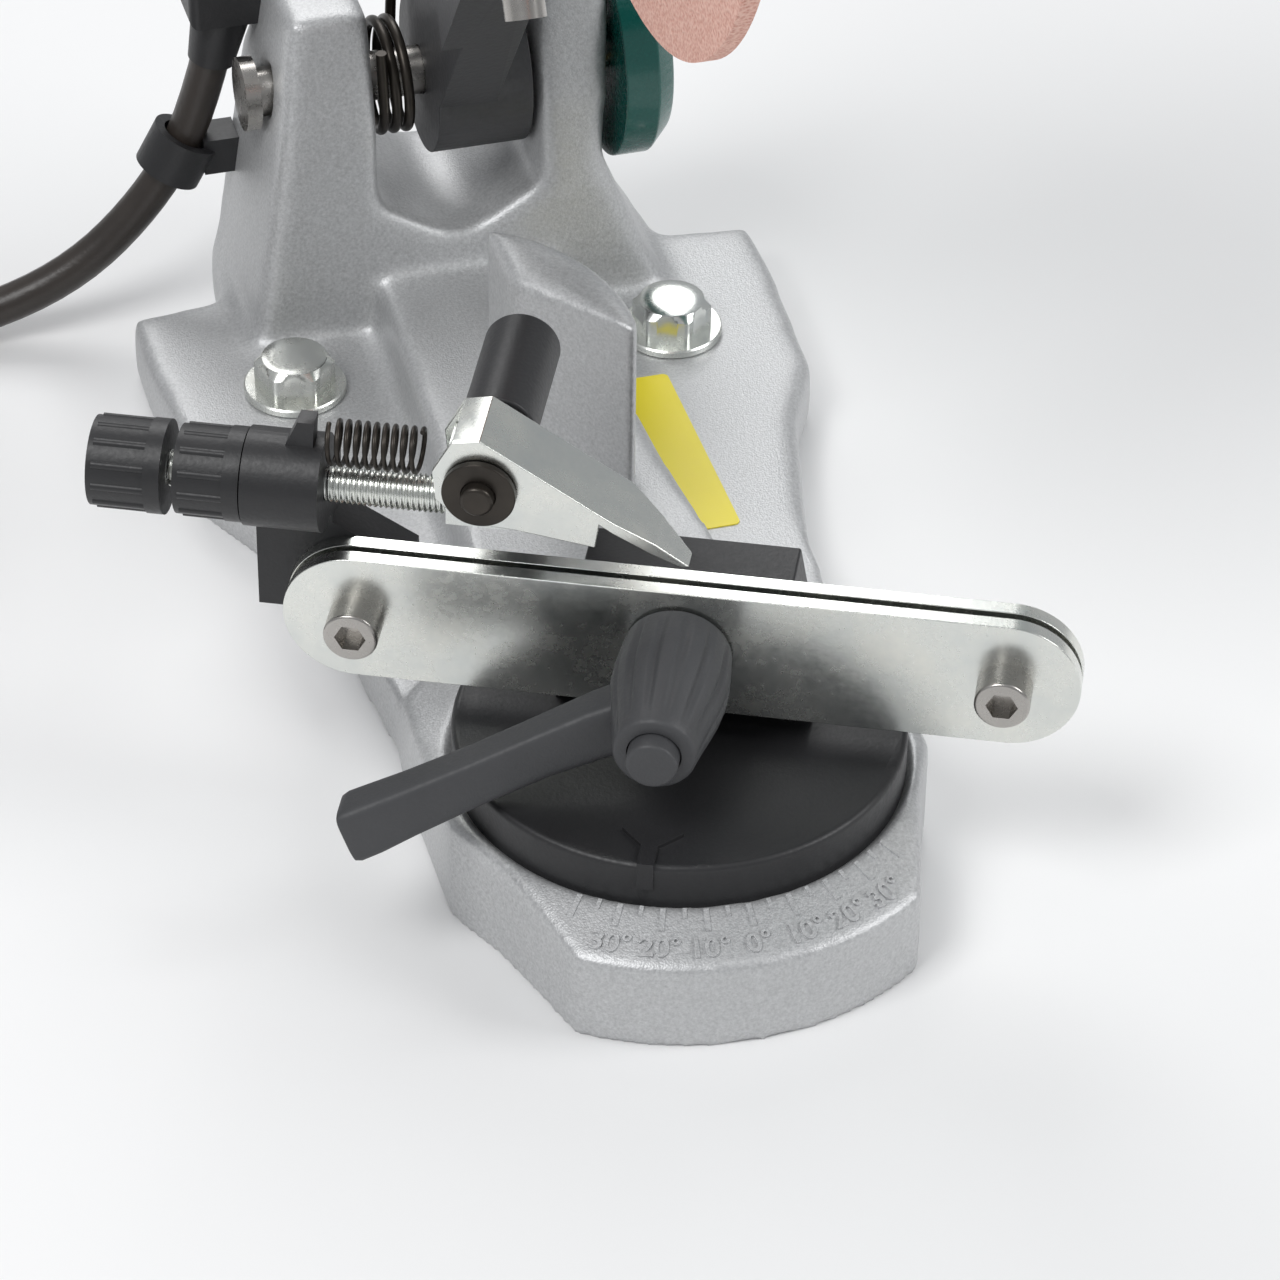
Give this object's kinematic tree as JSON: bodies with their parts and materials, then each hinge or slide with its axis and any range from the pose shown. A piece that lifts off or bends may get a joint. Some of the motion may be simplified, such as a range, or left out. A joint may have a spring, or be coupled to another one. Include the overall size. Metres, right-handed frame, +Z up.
{
  "type": "electric chainsaw sharpener",
  "caption": "Bench-mounted electric chainsaw sharpener: cast base, swivelling chain vise with clamp lever and chain stop, sprung motor head with grinding wheel.",
  "frame": {"origin": "middle of the two mounting holes, on the foot plane", "axes": "+Z up, -Y towards the user (the scale), +X to the user's right, where the motor stands"},
  "size_m": [0.4063, 0.2674, 0.3363],
  "materials": {
    "cast_paint": "sparkle-painted casting",
    "dark_casting": "satin dark paint",
    "zinc": "zinc plated, reflective",
    "steel": "bright steel",
    "black_oxide": "black oxide",
    "black_plastic": "fine moulded texture",
    "lever_plastic": "glass-filled nylon",
    "teal_plastic": "glossy moulding",
    "copper": "copper segments",
    "abrasive": "vitrified grit",
    "switch_red": "glossy rocker",
    "clear": "clear sheet",
    "cord_rubber": "smooth flexible sheath"
  },
  "bodies": {
    "base": {"base": "cast_paint", "hinge_pin": "steel", "pivot_cover": "teal_plastic", "return_spring": "black_oxide", "swivel_bolt": "steel", "swivel_washer": "steel", "cord_gland": "black_plastic", "cord_clip": "black_plastic", "cord_run": "cord_rubber", "cord_coil": "cord_rubber", "plug": "cord_rubber"},
    "vise": {"turntable": "black_plastic", "jaw_block": "black_plastic", "rear_jaw": "zinc", "clamp_stud": "steel", "jaw_screws": "steel", "stop_holder": "black_plastic", "pawl_spring": "black_oxide"},
    "front_jaw": {"front_jaw": "zinc"},
    "clamp_lever": {"clamp_lever": "lever_plastic"},
    "lever_button": {"lever_button": "lever_plastic"},
    "stop_rod": {"stop_rod": "zinc", "pawl_pin": "black_oxide", "pawl_washer": "black_oxide", "pawl_sleeve": "black_plastic"},
    "adjusting_knob": {"adjusting_knob": "black_plastic"},
    "lock_knob": {"lock_knob": "black_plastic"},
    "pawl": {"pawl": "zinc"},
    "head": {"head_arm": "dark_casting", "wheel_guard": "dark_casting", "guard_cover": "dark_casting", "shield_pin": "steel", "motor_housing": "teal_plastic", "motor_cap": "black_plastic", "stator": "copper", "handle_grip": "black_plastic", "switch_box": "black_plastic", "front_bearing": "steel", "rear_bearing": "steel"},
    "depth_screw": {"depth_screw": "steel"},
    "rotor": {"motor_shaft": "steel", "rotor_core": "black_oxide", "commutator": "copper", "cooling_fan": "black_plastic", "inner_flange": "steel", "outer_flange": "steel", "wheel_nut": "steel", "grinding_wheel": "abrasive"},
    "switch_rocker": {"switch_rocker": "switch_red"},
    "eye_shield": {"eye_shield": "clear"}
  },
  "joints": [
    {"name": "vise_swivel", "type": "hinge", "parent": "base", "child": "vise", "pos_m": [0, -0.14, 0.03], "axis": [0, 0, 1], "range_deg": [-10.3, 59.7]},
    {"name": "lever_turn", "type": "hinge", "parent": "front_jaw", "child": "clamp_lever", "pos_m": [0, -0.14, 0.0485], "axis": [0.4179, 0.9085, 0], "range_deg": [0, 170]},
    {"name": "jaw_slide", "type": "slide", "parent": "vise", "child": "front_jaw", "axis": [0.4179, 0.9085, 0], "range_m": [0, 0.00059]},
    {"name": "lever_release", "type": "slide", "parent": "clamp_lever", "child": "lever_button", "axis": [0.4179, 0.9085, 0], "range_m": [0, 0.002], "stiffness_N_per_m": 300, "springref_m": -0.002},
    {"name": "stop_slide", "type": "slide", "parent": "vise", "child": "stop_rod", "axis": [0.9085, -0.4179, 0], "range_m": [-0.006, 0.0015]},
    {"name": "adjust_turn", "type": "hinge", "parent": "vise", "child": "adjusting_knob", "pos_m": [-0.07631, -0.1049, 0.0755], "axis": [0.9085, -0.4179, 0], "range_deg": [-2160, 540]},
    {"name": "lock_turn", "type": "hinge", "parent": "stop_rod", "child": "lock_knob", "pos_m": [-0.08903, -0.09905, 0.0755], "axis": [0.9085, -0.4179, 0], "range_deg": [-360, 0]},
    {"name": "pawl_pivot", "type": "hinge", "parent": "stop_rod", "child": "pawl", "pos_m": [-0.03225, -0.12517, 0.081], "axis": [-0.4179, -0.9085, 0], "range_deg": [0, 35], "stiffness_Nm_per_rad": 0.03, "springref_deg": -34.38, "deforming": ["pawl_spring"]},
    {"name": "head_pivot", "type": "hinge", "parent": "base", "child": "head", "pos_m": [0, 0.036, 0.062], "axis": [1, 0, 0], "range_deg": [0, 30], "stiffness_Nm_per_rad": 12, "springref_deg": -40.11, "deforming": ["return_spring"]},
    {"name": "depth_travel", "type": "slide", "parent": "head", "child": "depth_screw", "axis": [0, 0.5, 0.866], "range_m": [0, 0.01]},
    {"name": "wheel_spin", "type": "hinge", "parent": "head", "child": "rotor", "pos_m": [0.009, -0.07817, 0.21625], "axis": [1, 0, 0], "continuous": true},
    {"name": "switch_rock", "type": "hinge", "parent": "head", "child": "switch_rocker", "pos_m": [0.077, -0.05267, 0.26042], "axis": [0, -0.866, 0.5], "range_deg": [0, 10]},
    {"name": "shield_lift", "type": "hinge", "parent": "head", "child": "eye_shield", "pos_m": [0.009, -0.08697, 0.30101], "axis": [-1, 0, 0], "range_deg": [0, 60]}
  ],
  "couplings": [
    {"joint": "lever_turn", "follows": "jaw_slide", "rad_per_m": 5026.5},
    {"joint": "adjust_turn", "follows": "stop_slide", "rad_per_m": 6283.2}
  ]
}
